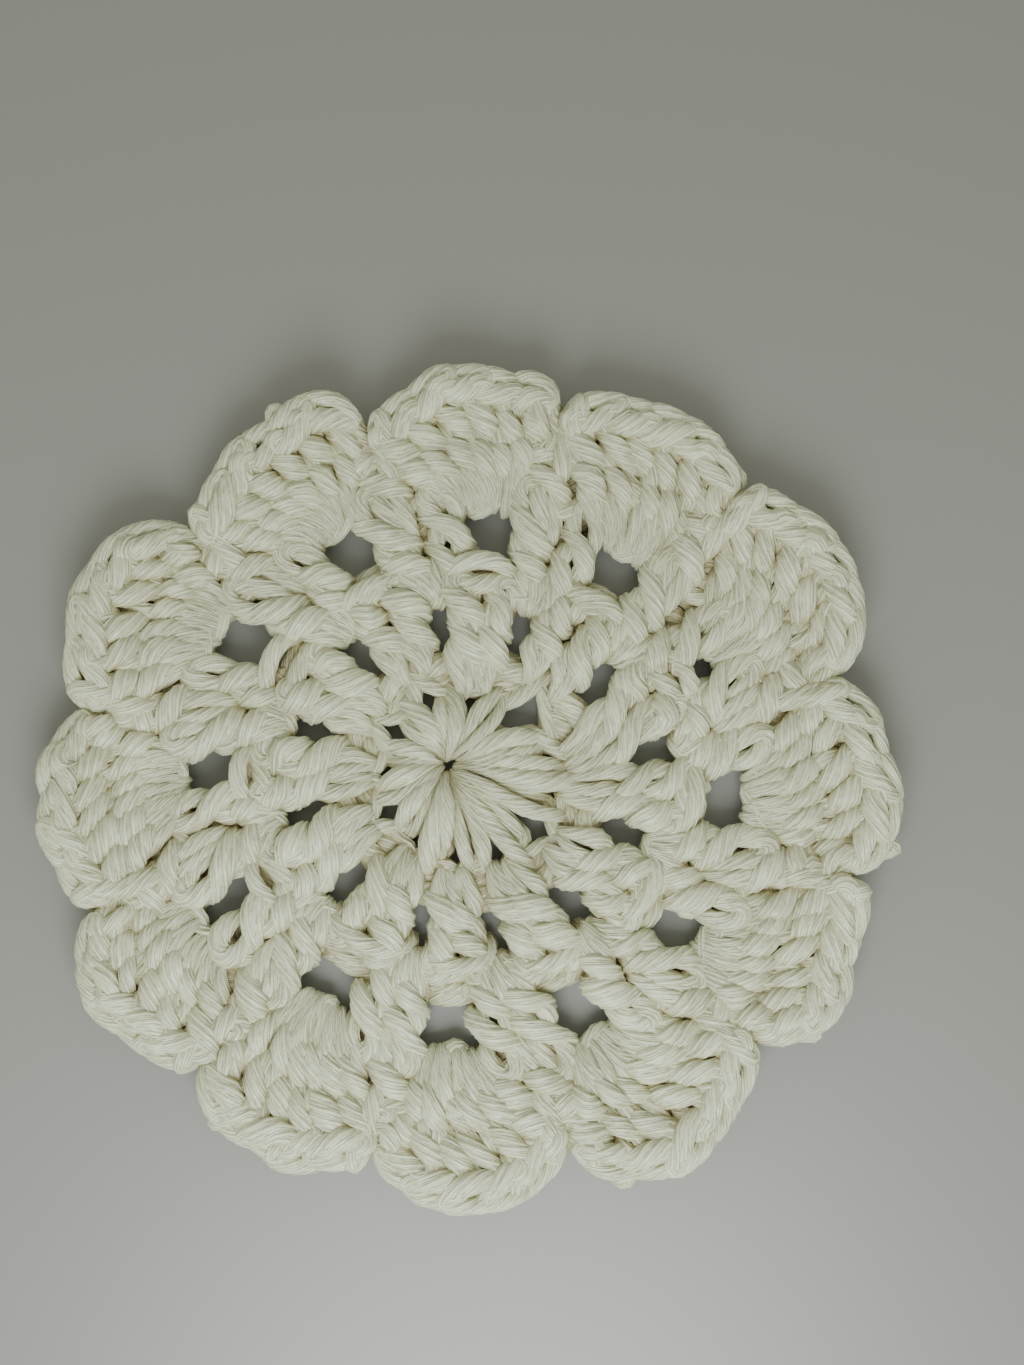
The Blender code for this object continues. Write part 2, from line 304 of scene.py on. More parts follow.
# The head of a short stitch lying across the valley between two petals, as (u, v, w, width, thickness) in
# millimetres and yarn radii.
valleyRecipe = np.array((
    (1.2, -1.7, -0.4, 0.9, 1.0),
    (2.6, -0.9, 0.7, 1.1, 0.95),
    (1.2, -0.5, 1.5, 1.35, 0.9),
    (-0.8, -0.4, 1.6, 1.4, 0.9),
    (-2.6, -0.3, 0.9, 1.1, 0.95),
    (-3.3, 0.6, -0.1, 0.9, 1.0),
    (-2.0, 1.3, 0.8, 1.15, 0.95),
    (0.0, 1.4, 1.3, 1.3, 0.9),
    (1.8, 1.5, 0.9, 1.1, 0.95),
    (2.8, 1.4, -0.3, 0.9, 1.0),
    (1.0, 0.8, -1.1, 1.0, 1.0),
))

# How uneven the stitches are, and how they are laid.
hand = {
    "side": 0.12, "lift": 0.10,    # millimetres, every point of a stitch
    "linkUp": 0.18,                # millimetres, every point of a chain link
    "postPoint": 0.008,            # of a post's height, every point of it
    "postTurn": 0.005, "postWidth": 0.08, "postTight": 0.05,     # the whole post
    "postWave": (0.10, 0.9),       # size and frequency of the waves in a post's thickness
    "postOut": 1.14,               # how far a post's yarn stands out of the fabric
    "squeezed": 0.45,              # a squeezed foot widens up to here
    "slantShape": 1.5,             # a slanting post leans most above its middle
    "riseFrom": 0.1,               # a raised post starts this share of itself below its foot
    # how far strands turn from the fabric's normal
    "postFan": 0.8, "linkFan": 0.3, "valleyFan": 0.25,
}


def jitter(count, size):
    return rng.normal(0.0, size, count)


def nudge(size):
    return jitter(1, size)[0]


def layRows(turn, station, side, up, lift):
    # a recipe's rows, now in millimetres, laid on the fabric a little unevenly
    place, sideways, outward, normal = fabricFrame(turn, station)
    side = side + jitter(len(turn), hand["side"])
    lift = lift + jitter(len(turn), hand["lift"])
    points = place + side[:, None] * sideways + up[:, None] * outward + lift[:, None] * normal
    return points, sideways, outward, normal


def layPost(run, foot, head, halfWidths, recipe, squeeze=1.0, rise=0.0, slant=0.0):
    # one post between two (turn, station) places, with its half widths evenly spaced from foot to head
    u, v, w = recipe[:, 0], recipe[:, 1] + jitter(len(recipe), hand["postPoint"]), recipe[:, 2]
    share = np.clip(v, 0.0, 1.0)
    turn = foot[0] + (head[0] - foot[0]) * v + nudge(hand["postTurn"])
    station = foot[1] + (head[1] - foot[1]) * v
    wide = np.interp(share, np.linspace(0.0, 1.0, len(halfWidths)), halfWidths)
    wide = wide * (1.0 + nudge(hand["postWidth"]))
    side = u * wide + slant * np.sin(np.pi * share ** hand["slantShape"])
    raised = np.sin(np.pi * np.clip(v + hand["riseFrom"], 0.0, 1.0))
    lift = w * yarn["radius"] * hand["postOut"] + rise * raised
    points, sideways, _, normal = layRows(turn, station, side, np.zeros(len(recipe)), lift)
    outs = (u * hand["postFan"])[:, None] * sideways + w[:, None] * normal
    tight = squeeze + (1.0 - squeeze) * ease(share / hand["squeezed"])
    tight = tight * (1.0 + nudge(hand["postTight"]))
    size, frequency = hand["postWave"]
    uneven = 1.0 + size * np.sin(np.arange(len(v)) * frequency + rng.uniform(0.0, 6.0))
    run.add(points, outs, recipe[:, 3:] * (tight * uneven)[:, None])


def layLink(run, start, end, lift=0.0, front=1.0, size=1.0):
    # a chain link between two (turn, station) places, flatter on its face where front is under 1
    t, v, w = linkRecipe[:, 0], linkRecipe[:, 1], linkRecipe[:, 2]
    w = np.where(w > 0.0, front, 1.0) * w
    turn = start[0] + (end[0] - start[0]) * t
    station = start[1] + (end[1] - start[1]) * t
    up = v + jitter(len(t), hand["linkUp"])
    points, _, outward, normal = layRows(turn, station, np.zeros(len(t)), up, w * yarn["radius"] + lift)
    run.add(points, w[:, None] * normal + hand["linkFan"] * outward, linkRecipe[:, 3:] * size)


def layValley(run, turn, station):
    u, v, w = valleyRecipe[:, 0], valleyRecipe[:, 1], valleyRecipe[:, 2]
    turns, stations = np.full(len(u), turn), np.full(len(u), station)
    points, sideways, _, normal = layRows(turns, stations, u, v, w * yarn["radius"])
    outs = (hand["valleyFan"] * u)[:, None] * sideways + w[:, None] * normal
    run.add(points, outs, valleyRecipe[:, 3:])


filler = {
    "out": -0.45,                  # yarn radii out of the fabric, so these lie inside it
    "thickness": 0.75,
    "pointsPerTurn": 4,
    "uneven": 0.01,
}


def fillerRun(start, end, station, width, out=filler["out"]):
    # flattened yarn that runs along inside the stitches, as a worked-in tail does
    turn = np.linspace(start, end, int(filler["pointsPerTurn"] * (end - start)) + 3)
    place, _, _, normal = fabricFrame(turn, station + jitter(len(turn), filler["uneven"]))
    run = YarnRun()
    run.add(place + (out * yarn["radius"]) * normal, normal,
            np.tile((width, filler["thickness"]), (len(turn), 1)))
    return run


# Small loops that stick out of the edge: the turn, millimetres out, and the height.
nubs = ((1.93, 0.5, 5.0), (3.84, 1.7, 4.7), (4.80, 0.8, 4.8), (5.82, 0.8, 4.8), (7.76, 0.7, 4.8),
        (11.64, 0.8, 6.4))
# Millimetres sideways, out from the edge and up, along one loop. Its tip is the third row.
nubRecipe = ((-1.3, -4.0, -0.8), (-1.2, -1.4, 0.2), (0.0, -0.6, 0.3), (1.2, -1.4, 0.0),
             (1.3, -4.0, -1.0))
nubWidth = 0.75


def nubRun(turn, reach, height):
    angle = math.radians(float(ringValue("valley", np.array([turn]))[0]))
    rim = float(outline(np.array([turn]))[0])
    out = Vector((math.sin(angle), math.cos(angle), 0.0))
    along = Vector((math.cos(angle), -math.sin(angle), 0.0))
    nub = YarnRun()
    for index, (side, outwards, up) in enumerate(nubRecipe):
        outwards += reach if index == 2 else 0.0
        place = out * (rim + outwards) + along * side + Vector((0.0, 0.0, height + up))
        nub.add([tuple(place)], [(0.0, 0.0, 1.0)], [(nubWidth, nubWidth)])
    return nub


def smooth(values, passes):
    for _ in range(passes):
        values[1:-1] = 0.25 * values[:-2] + 0.5 * values[1:-1] + 0.25 * values[2:]
    return values


def strides(points):
    return np.linalg.norm(np.diff(points, axis=0), axis=1)


def runningTotal(values):
    return np.concatenate(([0.0], np.cumsum(values)))


def resample(run):
    # a smooth curve through the run's points, with its rings closer together in tight bends
    points = np.array(run.points)
    extra = np.column_stack((np.array(run.outs), run.sizes))
    keep = np.concatenate(([True], strides(points) > yarn["samePlace"]))
    points, extra = points[keep], extra[keep]
    knots = runningTotal(np.sqrt(strides(points)))
    slopes = np.gradient(points, knots, axis=0)
    pieces = 10                    # between two points
    s = np.tile(np.linspace(0.0, 1.0, pieces, endpoint=False), len(points) - 1)[:, None]
    index = np.repeat(np.arange(len(points) - 1), pieces)
    width = (knots[index + 1] - knots[index])[:, None]
    fine = ((2 * s**3 - 3 * s**2 + 1) * points[index] + (s**3 - 2 * s**2 + s) * width * slopes[index]
            + (3 * s**2 - 2 * s**3) * points[index + 1] + (s**3 - s**2) * width * slopes[index + 1])
    fineKnots = knots[index] + width[:, 0] * s[:, 0]
    length = runningTotal(strides(fine))
    step = yarn["fineStep"]
    even = np.linspace(0.0, length[-1], int(length[-1] / step) + 1)
    path = smooth(np.column_stack([np.interp(even, length, fine[:, axis]) for axis in range(3)]), 6)
    tangent = np.gradient(path, even, axis=0)
    bend = np.linalg.norm(np.gradient(tangent, even, axis=0), axis=1)
    spacing = np.clip(yarn["ringTurn"] / np.maximum(bend, 1e-3), yarn["shortStep"], yarn["longStep"])
    measure = runningTotal(step / smooth(spacing, 8)[1:])
    chosen = np.interp(np.linspace(0.0, measure[-1], int(measure[-1]) + 1), measure, even)
    path = np.column_stack([np.interp(chosen, even, path[:, axis]) for axis in range(3)])
    where = np.interp(chosen, length, fineKnots)
    channels = np.column_stack([np.interp(where, knots, extra[:, column]) for column in range(5)])
    return path, channels, chosen


def addWaves(value, along, sizesAndLengths, phases):
    for (size, length), phase in zip(sizesAndLengths, phases):
        value = value + size * np.sin(along / length + phase)
    return value


def sweep(run, lengthBefore):
    # vertices of the plied yarn: a lobed oval that twists along the path and lies flat against the fabric
    path, channels, along = resample(run)
    tangent = np.gradient(path, along, axis=0)
    tangent /= np.linalg.norm(tangent, axis=1, keepdims=True)
    out = channels[:, :3]
    for _ in range(2):
        out = smooth(out - np.sum(out * tangent, axis=1, keepdims=True) * tangent, 2)
    tiny = 1e-4
    size = np.linalg.norm(out, axis=1, keepdims=True)
    out = np.where(size > tiny, out / np.maximum(size, tiny), 0.0)
    # a direction carried along without twist, and the angle from it to the way out of the fabric
    carried = np.empty_like(path)
    carried[0] = np.cross(tangent[0], (0.3, 0.5, 0.8))
    carried[0] /= np.linalg.norm(carried[0])
    for index in range(1, len(path)):
        side = carried[index - 1] - np.dot(carried[index - 1], tangent[index]) * tangent[index]
        carried[index] = side / np.linalg.norm(side)
    other = np.cross(tangent, carried)
    flatAngle = np.unwrap(np.arctan2(np.sum(out * other, axis=1), np.sum(out * carried, axis=1)))
    flatAngle = smooth(flatAngle, 3)
    turned = along + lengthBefore
    plies, points = yarn["plies"], len(yarn["profile"])
    phases = rng.uniform(0.0, 2.0 * np.pi, (4, plies))
    wander = addWaves(0.0, turned[:, None], yarn["wander"], phases[:2])
    swell = addWaves(1.0, turned[:, None], yarn["swell"], phases[2:])
    ring = np.arange(plies * points) * 2.0 * np.pi / (plies * points) + np.repeat(wander, points, axis=1)
    ring[:, ::points] -= 0.5 * (wander - np.roll(wander, 1, axis=1))
    profile = np.tile(yarn["profile"], plies) * np.repeat(swell, points, axis=1)
    twist = -2.0 * np.pi * addWaves(turned, turned, yarn["layWaves"], (0.0, 0.0)) / yarn["lay"]
    angle = ring + twist[:, None] - flatAngle[:, None]
    (fatSize, fatLength), (driftSize, driftLength) = yarn["fatWave"], yarn["fatDrift"]
    fat = yarn["fat"] + fatSize * np.sin(turned / fatLength + driftSize * np.sin(turned / driftLength))
    wide = yarn["radius"] * channels[:, 3] * fat
    thick = yarn["radius"] * channels[:, 4] * fat        # along the way out of the fabric
    flatOut = np.cos(flatAngle)[:, None] * carried + np.sin(flatAngle)[:, None] * other
    flatSide = np.cross(tangent, flatOut)
    spoke = ((thick[:, None] * np.cos(angle))[:, :, None] * flatOut[:, None, :]
             + (wide[:, None] * np.sin(angle))[:, :, None] * flatSide[:, None, :])
    verts = path[:, None, :] + spoke * profile[:, :, None]
    facing = spoke[:, :, 2] / np.maximum(np.linalg.norm(spoke, axis=2), 1e-6)
    height, pressed = verts[:, :, 2], yarn["pressed"]
    verts[:, :, 2] = np.where(height < pressed, pressed * np.exp(height / pressed - 1.0), height)
    return verts, facing, turned


class Skein:
    # the yarn of one piece: its swept rings, ready for a mesh
    def __init__(self, name, runs):
        self.name, self.rings = name, []
        start, self.length = 0.0, 0.0
        for run in runs:
            swept = sweep(run, start)
            self.length += swept[2][-1] - start
            start = swept[2][-1] + yarn["betweenRuns"]
            self.rings.append(swept)
        self.verts = np.vstack([verts.reshape(-1, 3) for verts, _, _ in self.rings])
        self.facing = np.concatenate([facing.ravel() for _, facing, _ in self.rings])


def blur(grid, cells):
    reach = np.arange(-3 * cells, 3 * cells + 1)
    weights = np.exp(-0.5 * (reach / cells) ** 2)
    weights /= weights.sum()

    def blurLine(line):
        return np.convolve(np.pad(line, 3 * cells, mode="edge"), weights, "valid")

    for axis in (0, 1):
        grid = np.apply_along_axis(blurLine, axis, grid)
    return grid


# Painted shade deep between the strands, from maps of the yarn's upper and lower faces. Each map has its
# blur in cells, and how many millimetres below it are full shade.
hollowShade = {
    "cell": 0.4, "half": 66.0,     # the maps' cells and half width, in millimetres
    "near": (2, 1.0),
    "far": (7, 2.5),
    "under": (4, 2.5),
    "nothing": 99.0,               # the lower map's start, above all yarn
    "gapHeight": 6.0, "gapBlur": 6,            # a cell without yarn counts as this, then is blurred
    "sideways": 0.22,              # more painted shade where the yarn's face turns sideways
    "base": 0.35, "gain": 0.65,
}


def shadeBetweenStrands(skeins):
    # painted shade for each vertex, from how deep it lies below the yarn around it, seen from above or
    # from below
    cell, half, nothing = hollowShade["cell"], hollowShade["half"], hollowShade["nothing"]
    samples = [skein.verts for skein in skeins]
    for skein in skeins:
        for verts, _, _ in skein.rings:
            for share in (0.25, 0.5, 0.75):
                samples.append((verts[:-1] * (1.0 - share) + verts[1:] * share).reshape(-1, 3))
    samples = np.vstack(samples)
    side = int(2.0 * half / cell)
    top, bottom = np.zeros((side, side)), np.full((side, side), nothing)
    spot = ((samples[:, :2] + half) / cell).astype(int)
    np.maximum.at(top, (spot[:, 0], spot[:, 1]), samples[:, 2])
    np.minimum.at(bottom, (spot[:, 0], spot[:, 1]), samples[:, 2])
    around = blur(np.minimum(bottom, hollowShade["gapHeight"]), hollowShade["gapBlur"])
    bottom = np.where(bottom > 0.5 * nothing, around, bottom)
    (nearBlur, nearDeep), (farBlur, farDeep), (underBlur, underDeep) = (
        hollowShade["near"], hollowShade["far"], hollowShade["under"])
    near, far, under = blur(top, nearBlur), blur(top, farBlur), blur(bottom, underBlur)
    verts = np.vstack([skein.verts for skein in skeins])
    facing = np.concatenate([skein.facing for skein in skeins])
    spot = ((verts[:, :2] + half) / cell).astype(int)
    here = (spot[:, 0], spot[:, 1])
    below = 0.5 * (near[here] - verts[:, 2]) / nearDeep + 0.5 * (far[here] - verts[:, 2]) / farDeep
    above = (verts[:, 2] - under[here]) / underDeep
    share = ease(facing * 1.5 + 0.5)
    deepShade = share * below + (1.0 - share) * np.minimum(above, below + 0.5)
    deepShade += hollowShade["sideways"] * (1.0 - np.abs(facing)) ** 1.5
    return np.clip(hollowShade["base"] + hollowShade["gain"] * deepShade, 0.0, 1.0)


def closeEnds(piece):
    # both ends of each run closed, and all faces outwards
    bpy.ops.object.select_all(action="DESELECT")
    bpy.context.view_layer.objects.active = piece
    piece.select_set(True)
    bpy.ops.object.mode_set(mode="EDIT")
    bpy.ops.mesh.select_all(action="SELECT")
    bpy.ops.mesh.fill_holes(sides=0)
    bpy.ops.mesh.normals_make_consistent(inside=False)
    bpy.ops.object.mode_set(mode="OBJECT")
    bpy.ops.object.shade_smooth()


def makeYarn(skein, deepShade, material):
    # one mesh with a UV map that follows the plies
    ringCount = yarn["plies"] * len(yarn["profile"])
    faces, uvs, start = [], [], 0
    for verts, _, along in skein.rings:
        rings = len(verts)
        ring, spot = np.meshgrid(np.arange(rings - 1), np.arange(ringCount), indexing="ij")
        after = (spot + 1) % ringCount
        quads = np.stack((ring * ringCount + spot, ring * ringCount + after,
                          (ring + 1) * ringCount + after, (ring + 1) * ringCount + spot), axis=-1) + start
        faces.append(quads.reshape(-1, 4))
        u = np.stack((spot, spot + 1, spot + 1, spot), axis=-1) / ringCount
        v = np.stack((along[ring], along[ring], along[ring + 1], along[ring + 1]), axis=-1)
        uvs.append(np.stack((u, v), axis=-1).reshape(-1, 2))
        start += rings * ringCount
    faces = np.vstack(faces)
    count = len(faces)
    mesh = bpy.data.meshes.new(skein.name)
    mesh.vertices.add(len(skein.verts))
    mesh.vertices.foreach_set("co", ((skein.verts + (*mat["centreShift"], 0.0)) * mm).ravel())
    mesh.loops.add(count * 4)
    mesh.loops.foreach_set("vertex_index", faces.ravel().astype(np.int32))
    mesh.polygons.add(count)
    mesh.polygons.foreach_set("loop_start", np.arange(0, count * 4, 4, dtype=np.int32))
    mesh.polygons.foreach_set("loop_total", np.full(count, 4, dtype=np.int32))
    layer = mesh.uv_layers.new(name="yarn")
    layer.data.foreach_set("uv", np.vstack(uvs).ravel().astype(np.float32))
    # painted shade deep between the strands, kept on each vertex
    shades = mesh.attributes.new("deepShade", "FLOAT", "POINT")
    shades.data.foreach_set("value", deepShade.astype(np.float32))
    mesh.update(calc_edges=True)
    piece = bpy.data.objects.new(skein.name, mesh)
    bpy.context.scene.collection.objects.link(piece)
    closeEnds(piece)
    mesh.materials.append(material)
    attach(piece, "root")
    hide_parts("coaster")
    triangles = sum(len(polygon.vertices) - 2 for polygon in mesh.polygons)
    print(skein.name, "yarn", round(skein.length), "mm,", triangles, "triangles")
    return triangles


def fillSockets(node, sockets):
    # the values or links of a node's sockets, by name or number
    for name, value in sockets.items():
        if isinstance(value, Socket):
            value.tree.links.new(value.socket, node.inputs[name])
        elif value is not None:
            node.inputs[name].default_value = value


class Socket:
    # wraps a node's output, so that shader maths reads as maths
    def __init__(self, tree, socket):
        self.tree, self.socket = tree, socket

    def math(self, operation, other=None, swap=False):
        node = self.tree.nodes.new("ShaderNodeMath")
        node.operation = operation
        fillSockets(node, {0: other, 1: self} if swap else {0: self, 1: other})
        return Socket(self.tree, node.outputs[0])

    def __add__(self, other):
        return self.math("ADD", other)

    def __radd__(self, other):
        return self.math("ADD", other, True)

    def __sub__(self, other):
        return self.math("SUBTRACT", other)

    def __rsub__(self, other):
        return self.math("SUBTRACT", other, True)

    def __mul__(self, other):
        return self.math("MULTIPLY", other)

    def __rmul__(self, other):
        return self.math("MULTIPLY", other, True)


def addNode(tree, kind, settings, sockets, output=0):
    # any other node: its settings first, then its sockets
    node = tree.nodes.new(kind)
    for name, value in settings.items():
        setattr(node, name, value)
    fillSockets(node, sockets)
    return Socket(tree, node.outputs[output])


cotton = {
    # the yarn's colour from painted light (lit) to painted half shade (shade); the mix between them also
    # carries the fibres' own uneven tone
    "lit": (0.892, 0.944, 0.682, 1.0),
    "shade": (0.485, 0.497, 0.315, 1.0),
    "deepShade": (0.58, 0.52, 0.28, 1.0),           # warm painted shade deep between the strands
    "gloss": {"Roughness": 0.40, "Sheen Weight": 0.15, "Sheen Roughness": 0.4,
              "Specular IOR Level": 1.0},
    # noise on the UV map: scale round and along the yarn, detail, roughness
    "fibre": ((14.0, 0.46, 1.0), 3.0, 0.55),
    "grain": ((42.0, 1.9, 1.0), 2.0, 0.5),
    "patch": ((8.0, 0.45, 1.0), 2.0, 0.5),
    "grainShare": 0.26,
    "patches": {"From Min": 0.35, "From Max": 0.65, "To Min": 0.25, "To Max": 1.0},   # where creases fade
    "creaseSharp": 3.5, "fineSharp": 4.0,
    "finePatch": (1.25, 0.8),      # fine creases are stronger where the others are weak
    "cloudScale": 140.0,
    # what paints shade and light on the yarn's colour, and by how much
    "shading": {"crease": 0.37, "fine": 0.36, "fibre": 2.4, "cloud": 1.2, "deepShade": 0.56, "all": 0.01},
    "warmShadeMix": (1.5, 0.6),        # slope and start of the warm painted deep shade
    "relief": {"fibre": 0.8, "crease": 0.7, "fine": 0.5},
    "bump": {"Strength": 0.75, "Distance": 0.00035},
}


def streaks(tree, uv, scale, detail, roughness):
    # noise drawn out along the yarn
    stretched = addNode(tree, "ShaderNodeMapping", {}, {"Vector": uv, "Scale": scale}, "Vector")
    return addNode(tree, "ShaderNodeTexNoise", {"noise_dimensions": "2D"},
                   {"Vector": stretched, "Scale": 1.0, "Detail": detail, "Roughness": roughness}, "Fac")


def mixColours(tree, factor, first, second):
    return addNode(tree, "ShaderNodeMix", {"data_type": "RGBA", "clamp_factor": True},
                   {0: factor, 6: first, 7: second}, 2)


def cottonMaterial():
    material = bpy.data.materials.new("cottonYarn")
    material.use_nodes = True
    tree = material.node_tree
    shader = tree.nodes["Principled BSDF"]
    uv = addNode(tree, "ShaderNodeUVMap", {"uv_map": "yarn"}, {}, "UV")
    around = addNode(tree, "ShaderNodeSeparateXYZ", {}, {"Vector": uv}, "X")
    # creases between the plies, and a finer one along the middle of each ply: painted shade in the
    # colour, and bump
    crease = ((around * float(yarn["plies"])).math("FRACT") - 0.5).math("ABSOLUTE") * 2.0
    fine = ((around * float(yarn["plies"] * 2) + 0.5).math("FRACT") - 0.5).math("ABSOLUTE") * 2.0
    grainShare = cotton["grainShare"]
    fibre = (streaks(tree, uv, *cotton["fibre"]) * (1.0 - grainShare)
             + streaks(tree, uv, *cotton["grain"]) * grainShare)
    uneven = addNode(tree, "ShaderNodeMapRange", {"clamp": True},
                     {"Value": streaks(tree, uv, *cotton["patch"]), **cotton["patches"]}, "Result")
    crease = crease.math("POWER", cotton["creaseSharp"]) * uneven
    fineMost, fineLess = cotton["finePatch"]
    fine = fine.math("POWER", cotton["fineSharp"]) * (fineMost - uneven * fineLess)
    place = addNode(tree, "ShaderNodeTexCoord", {}, {}, "Object")
    cloud = addNode(tree, "ShaderNodeTexNoise", {},
                    {"Vector": place, "Scale": cotton["cloudScale"], "Detail": 2.0}, "Fac")
    deepShade = addNode(tree, "ShaderNodeAttribute", {"attribute_name": "deepShade"}, {}, "Fac")
    by = cotton["shading"]
    # painted shade in the ply creases and deep between the strands, pale fibre streaks that are partly
    # the yarn's own tone and partly painted highlight, and uneven tone
    shade = (crease * by["crease"] + fine * by["fine"] + (0.5 - fibre) * by["fibre"]
             + (cloud - 0.5) * by["cloud"] + deepShade * by["deepShade"] + by["all"])
    tintSlope, tintFrom = cotton["warmShadeMix"]
    colour = mixColours(tree, shade, cotton["lit"], cotton["shade"])
    # then a warm painted shade deep between the strands
    colour = mixColours(tree, deepShade * tintSlope - tintFrom, colour, cotton["deepShade"])
    by = cotton["relief"]
    height = fibre * by["fibre"] - crease * by["crease"] - fine * by["fine"]
    bump = addNode(tree, "ShaderNodeBump", {}, {"Height": height, **cotton["bump"]}, "Normal")
    fillSockets(shader, {"Base Color": colour, "Normal": bump, **cotton["gloss"]})
    return material


def stationAt(turn, radius):
    # the station of round 3 or of a petal that lies at this radius, in millimetres
    radii = mat["roundRadii"]
    if radius < radii[3]:
        return 2.0 + (radius - radii[2]) / (radii[3] - radii[2])
    whole = float(outline(np.array([turn]))[0]) - mat["rimInset"] - radii[3]
    start = mat["bendFrom"]
    bend = float(petalValue("curl", np.array([turn]))[0])
    return 3.0 + (radius - radii[3]) / whole * (start + (1.0 - start) / bend * math.sin(bend))


# Feet and heads are stations, spreads and turns are shares of a petal, half widths are in millimetres
# from a post's foot to its head, and each uneven value is a standard deviation.
round1 = {
    "foot": 0.15, "head": 1.10, "halfWidths": (0.40, 1.20, 1.25), "squeeze": 0.45,
    "eye": (1.16, 0.24),           # station of the chain's dip, and what a full eye adds
    "link": {"front": 0.1, "lift": -0.5},
    "unevenFoot": 0.02, "unevenHead": 0.03, "unevenRise": 0.35,
    "filler": (0.62, 1.5),         # station and width
}
round2 = {
    "footSpread": 0.225, "headSpread": 0.172, "foot": -0.06, "head": 2.64,
    "halfWidths": (0.85, 2.20, 1.55, 1.60, 2.15), "step": 0.14, "squeeze": 0.72, "pinch": -0.75,
    # posts stop short of a gap that starts inside this radius, by so much for each millimetre
    "clear": (32.0, 0.05),
    "slackBack": 0.10,
    "dip": 2.34,                   # station where the chain dips between two pairs
    "topLink": (0.33, 0.67, 0.02),  # from one post's head to the other, a little above them
    "sideLinks": (0.70, 1.30), "topFront": 0.8, "sideFront": 0.3,
    "unevenTurn": 0.01, "unevenRise": 0.25, "unevenSlant": 0.15,
    "filler": (1.50, 1.4),
    # turns from and to, station, yarn radii out
    "fillers": ((0.36, 0.64, 2.26, -0.45), (-0.26, 0.26, 1.46, 0.30), (-0.20, 0.20, 1.28, -0.20)),
    "acrossFiller": (-0.30, 0.72, 2.62, -0.45), "slackReach": 0.3,   # it stops there at a slack loop
    "fillerWidth": 1.3,
}
round3 = {
    "footSpread": 0.10, "foot": 2.28, "head": 3.34, "halfWidths": (1.25, 1.80, 2.20, 2.50),
    "step": 0.125, "squeeze": 0.9,
    "postHalf": 3.1,               # from a post's middle to its edge beside the large gap
    "besideGap": 0.72,             # share of the way up a post where the gap is widest
    "topLink": (0.16, -0.02, 0.4),  # turn at the right end, stations above the heads, front
    "overGap": (0.19, 0.81, 0.1),  # turns of the chain over the gap, front
    "clearGap": 1.0,               # from the gap to the chain and to the slack loop
    "unevenRise": 0.3, "unevenSlant": 0.2, "unevenSlack": 0.03, "unevenSlackPoint": 0.008,
    "fillers": (2.88, 3.08, 3.26), "fillerHalf": 0.15, "fillerWidth": 1.3,
}
slackRows = np.array((
    # share of the way round the petal, stations from the gap's inner edge, yarn radii up
    (0.74, -0.20, -0.6), (0.70, -0.06, 0.8), (0.60, 0.02, 1.7), (0.46, 0.03, 1.8), (0.32, 0.0, 1.6),
    (0.20, -0.06, 1.1), (0.12, -0.16, -0.1), (0.10, -0.28, -1.2),
))


def roundOne(eyes):
    # twelve posts into the magic ring, with an eye of its own size before each pair of round 2
    run, head = YarnRun(), round1["head"]
    for row in range(repeats):
        layPost(run, (row, round1["foot"] + nudge(round1["unevenFoot"])),
                (row, head + nudge(round1["unevenHead"])), round1["halfWidths"], leafRecipe(),
                squeeze=round1["squeeze"], rise=nudge(round1["unevenRise"]))
        layLink(run, (row, head), (row + 0.5, eyes[row]), **round1["link"])
        layLink(run, (row + 0.5, eyes[row]), (row + 1, head), **round1["link"])
    return [run, fillerRun(0.1, repeats, *round1["filler"])]


def roundTwo(eyes):
    # a pair of posts in each space of round 1
    run, dip = YarnRun(), round2["dip"]
    recipe = postRecipe(2, round2["step"])
    clear, back = round2["clear"]
    left, right, above = round2["topLink"]
    down, up = round2["sideLinks"]
    for row in range(repeats):
        petal = petals[row]
        inner = petal["gapOut"] - 0.5 * petal["gapLong"]
        head = round2["head"] - back * max(0.0, clear - inner) - round2["slackBack"] * petal["slack"]
        for side in (-1, 1):
            footTurn = row + 0.5 + round2["footSpread"] * side + nudge(round2["unevenTurn"])
            layPost(run, (footTurn, eyes[row] + round2["foot"]),
                    (row + 0.5 + round2["headSpread"] * side, head), round2["halfWidths"], recipe,
                    squeeze=round2["squeeze"], rise=nudge(round2["unevenRise"]),
                    slant=round2["pinch"] * side + nudge(round2["unevenSlant"]))
            if side < 0:
                layLink(run, (row + left, head + above), (row + right, head + above),
                        front=round2["topFront"])
        layLink(run, (row + down, head), (row + 1.0, dip), front=round2["sideFront"])
        layLink(run, (row + 1.0, dip), (row + up, head), front=round2["sideFront"])
    return [run, fillerRun(0.1, repeats, *round2["filler"])]


def innerFillers(row):
    # for one petal, those of round 2 and those of round 3
    start, end, station, out = round2["acrossFiller"]
    across = (start, round2["slackReach"] if petals[row]["slack"] else end, station, out)
    second = [fillerRun(row + start, row + end, station, round2["fillerWidth"], out)
              for start, end, station, out in round2["fillers"] + (across,)]
    half, width = round3["fillerHalf"], round3["fillerWidth"]
    third = [fillerRun(row - half, row + half, station, width) for station in round3["fillers"]]
    return second, third


def slackRun(row, inner):
    # the slack loop that lies across the inner edge of a large gap
    run = YarnRun()
    turn = row + slackRows[:, 0] + nudge(round3["unevenSlack"])
    turn = turn + jitter(len(slackRows), round3["unevenSlackPoint"])
    place, _, _, normal = fabricFrame(turn, inner + slackRows[:, 1])
    run.add(place + (slackRows[:, 2] * yarn["radius"])[:, None] * normal, normal,
            np.full((len(slackRows), 2), 1.0))
    return run


